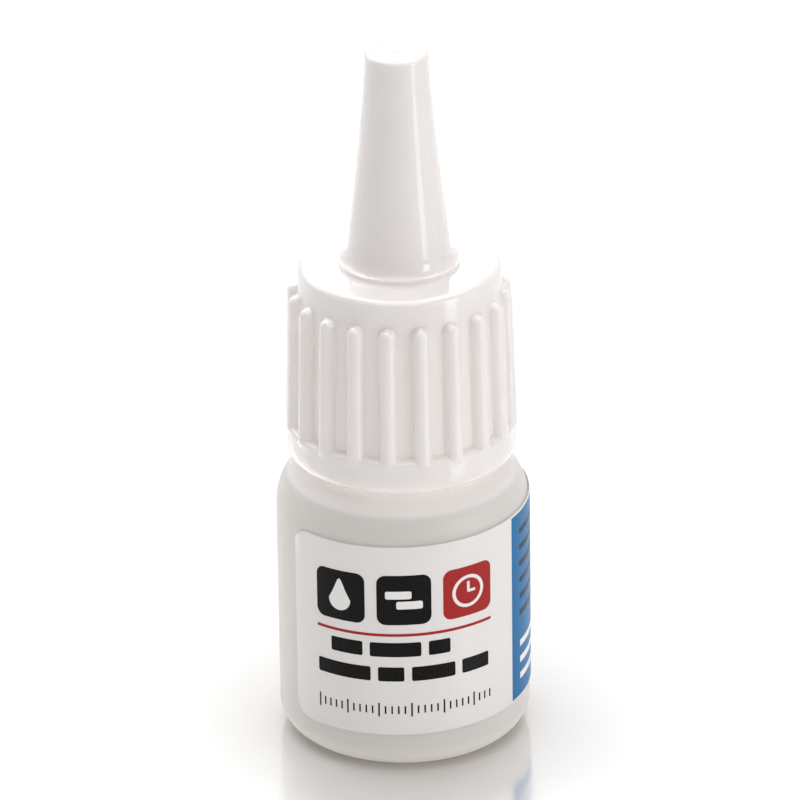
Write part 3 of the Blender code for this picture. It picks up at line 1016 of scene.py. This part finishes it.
def drawPrint(art):                   # the flat shapes of each ink
    leftTile, midTile, rightTile = art["tiles"]
    y, lap = art["tileHeight"], art["lap"]
    left, height, spacing, count = art["ticks"]
    width, short, long = art["tickSizes"]
    inset, edge = art["panelInset"]
    start, end = art["panelStart"] * arcLength, label["end"] * arcLength - inset
    shapes = {
        "inkBlack": [flatBar(x, y, *art["tileSize"]) for x in (leftTile, midTile)],
        "inkRed": [flatBar(rightTile, y, *art["tileSize"]), flatBar(*art["rule"])],
        "inkWhite": [
            flatDrop(leftTile, y + art["drop"][0], art["drop"][1]),
            *[flatBar(midTile - side * lap, y + side * lap, *art["lapBar"]) for side in (1, -1)],
            flatRing(rightTile, y, *art["clock"]),
            *[flatBar(rightTile + x, y + up, *size) for x, up, *size in art["hands"]],
            flatBar(*art["field"]),
        ],
        "inkBlue": [flatBar((start + end) / 2, 0, end - start, label["top"] - label["bottom"] - 2 * edge)],
        "inkNavy": [],
    }
    for ink, *row in art["rows"]:
        shapes[ink] += barRow(*row)
    for step in range(count):
        shapes["inkBlack"].append(flatBar(left + spacing * step, height, width, short if step % 5 else long))
    return shapes


inkLook = {
    # Ink lies nearly smooth, with pinholes of the film's texture
    "sockets": {"IOR": 1.45, "Specular IOR Level": 0.15},
    "speck": 0.35,
    "speckSpan": {"From Min": 0.5, "From Max": 0.75},
    "speckTone": "#C8C4C0",
    "speckShare": 0.008,
    "roughness": (0.28, 0.4),
}


def printedInk(name, code, look):
    finish, tree, shader = newMaterial(name, look["sockets"])
    place = addNode(tree, "ShaderNodeTexCoord").outputs["Object"]
    speck = addNode(
        tree,
        "ShaderNodeTexNoise",
        {"Scale": perMetre(look["speck"]), "Detail": 2.0},
        {"Vector": place},
    )
    weight = addNode(
        tree,
        "ShaderNodeMapRange",
        {**look["speckSpan"], "To Min": 0.0, "To Max": look["speckShare"]},
        {"Value": speck.outputs["Fac"]},
    )
    tone = addNode(
        tree,
        "ShaderNodeMix",
        {"data_type": "RGBA", 6: linearColour(code), 7: linearColour(look["speckTone"])},
        {0: weight.outputs[0]},
    )
    gloss = addNode(
        tree,
        "ShaderNodeMapRange",
        {**noiseSpan, "To Min": look["roughness"][0], "To Max": look["roughness"][1]},
        {"Value": speck.outputs["Fac"]},
    )
    tree.links.new(tone.outputs[2], shader.inputs["Base Color"])
    tree.links.new(gloss.outputs[0], shader.inputs["Roughness"])
    return finish


for name, shapes in drawPrint(artwork).items():
    code, thickness = inks[name]
    pickOnly(shapes[0])
    for shape in shapes:
        shape.select_set(True)
    bpy.ops.object.join()
    layer = bpy.context.object
    layer.name = layer.data.name = name
    cutFlat(layer, (1, 0, 0), placesBetween(*artwork["span"], artwork["strip"]))
    wrapOn(layer, filmFace, thickness)
    settle(layer, printedInk(name, code, inkLook), "bottle")
print("print laid on the film")


# Floor, light and camera

def softLight(name, place, aim, size, power, tint):
    deselectAll()
    bpy.ops.object.light_add(type="AREA", location=place)
    lamp = bpy.context.object
    lamp.name = lamp.data.name = name
    lamp.data.shape = "RECTANGLE"
    lamp.data.size, lamp.data.size_y = size
    lamp.data.energy = power
    lamp.data.color = linearColour(tint)[:3]
    lamp.rotation_euler = (Vector(aim) - Vector(place)).to_track_quat("-Z", "Y").to_euler()


floorLook = {
    # Polished white acrylic sheet: mirrors what stands on it, with a few faint wipe marks
    "side": 6.0,                          # of the whole sheet, in metres
    "sockets": {"IOR": 2.0, "Metallic": 0.4},
    "tone": "#FFFFFF",
    "deepTone": "#FDFCFB",
    "shadeTone": "#D3D0CE",               # the soft contact shade that gathers round what stands on it
    "shadeReach": 16.0,
    "shadeSamples": 6,
    "shadeFull": 0.3,                     # the shade is full where this share of the sky is open
    "cloud": 60.0,
    "roughness": (0.1, 0.15),
    "ripple": 40.0,
    "rippleDepth": 0.01,
    "grain": 1.0,
    "grainDepth": 0.0004,
}


def polishedSheet(look):
    finish, tree, shader, tone = mouldedPlastic("polishedAcrylic", look)[:4]
    near = addNode(
        tree,
        "ShaderNodeAmbientOcclusion",
        {"samples": look["shadeSamples"], "Distance": look["shadeReach"] * mm},
    )
    clear = addNode(
        tree,
        "ShaderNodeMapRange",
        {"From Min": look["shadeFull"]},
        {"Value": near.outputs["AO"]},
    )
    shaded = addNode(
        tree,
        "ShaderNodeMix",
        {"data_type": "RGBA", 6: linearColour(look["shadeTone"])},
        {0: clear.outputs[0], 7: tone.outputs[2]},
    )
    tree.links.new(shaded.outputs[2], shader.inputs["Base Color"])
    return finish


deselectAll()
bpy.ops.mesh.primitive_plane_add(size=floorLook["side"])
floor = bpy.context.object
floor.name = floor.data.name = "studioFloor"
floor.data.materials.append(polishedSheet(floorLook))
floor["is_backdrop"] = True

light = {
    "world": 0.252,                       # pale ambient that the object sees; camera and mirrors see white
    "lamps": (                            # place, aim and size in metres, power in watts
        ("topPanel", (0.0, -0.02, 0.62), (0, 0, 0.04), (0.5, 1.0), 2.4, "#FFFFFF"),
        ("edgeStrip", (0.0, 0.13, 0.62), (0, 0, 0.04), (1.2, 0.03), 0.7, "#FFFFFF"),
        ("highSoftbox", (0.0, 0.35, 0.58), (0, 0, 0.04), (0.7, 0.35), 0.9, "#FFFFFF"),
        ("backSoftbox", (-0.38, 0.32, 0.46), (0, 0, 0.04), (0.45, 0.45), 0.95, "#FFFFFF"),
        ("rightPanel", (0.62, -0.30, 0.25), (0, 0, 0.035), (0.9, 0.5), 0.8, "#FFFFFF"),
        ("rightStrip", (0.52, -0.32, 0.20), (0, 0, 0.035), (0.16, 0.3), 0.42, "#FFFFFF"),
        ("topCard", (0.0, 0.15, 0.124), (0, 0, 0.05), (0.12, 0.036), 0.03, "#FFFFFF"),
    ),
}
for lamp in light["lamps"]:
    softLight(*lamp)

world = bpy.data.worlds.new("paleStudio")
bpy.context.scene.world = world
world.use_nodes = True
worldTree = world.node_tree
path = addNode(worldTree, "ShaderNodeLightPath")
seen = addNode(
    worldTree,
    "ShaderNodeMath",
    {"operation": "MAXIMUM"},
    {0: path.outputs["Is Camera Ray"], 1: path.outputs["Is Glossy Ray"]},
)
shown = addNode(
    worldTree,
    "ShaderNodeMath",
    {"operation": "MAXIMUM"},
    {0: seen.outputs[0], 1: path.outputs["Is Transmission Ray"]},
)
strength = addNode(
    worldTree,
    "ShaderNodeMapRange",
    {"To Min": light["world"], "To Max": 1.0},
    {"Value": shown.outputs[0]},
)
sky = worldTree.nodes["Background"]
sky.inputs["Color"].default_value = (1, 1, 1, 1)
worldTree.links.new(strength.outputs[0], sky.inputs["Strength"])
print("floor and light ready")

view = {
    "elevation": 26.1,
    "distance": 800,
    "pivot": 25.0,                        # height about which the camera was swung up
    "aim": (-0.113, 0.0, 34.9),
    "lens": 363.5,
    "roll": -0.79,
    "nearest": 50,                        # nothing nearer than this is drawn
}
tilt = radians(view["elevation"])
eye = Vector((0, -view["distance"] * cos(tilt), view["pivot"] + view["distance"] * sin(tilt))) * mm
deselectAll()
bpy.ops.object.camera_add(location=eye)
camera = bpy.context.object
camera.name = "photoCamera"
camera.data.lens = view["lens"]
camera.data.clip_start = view["nearest"] * mm
towards = (Vector(view["aim"]) * mm - eye).to_track_quat("-Z", "Y").to_matrix()
camera.rotation_euler = (towards @ Matrix.Rotation(radians(view["roll"]), 3, "Z")).to_euler()
bpy.context.scene.camera = camera
bpy.context.scene.view_settings.view_transform = "Standard"

sizes = {"cad": [list(corner) for corner in cadBox], "visual": [list(corner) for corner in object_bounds()]}
for key, (low, high) in sizes.items():
    print(key, "size in mm:", [round((b - a) / mm, 2) for a, b in zip(low, high)])
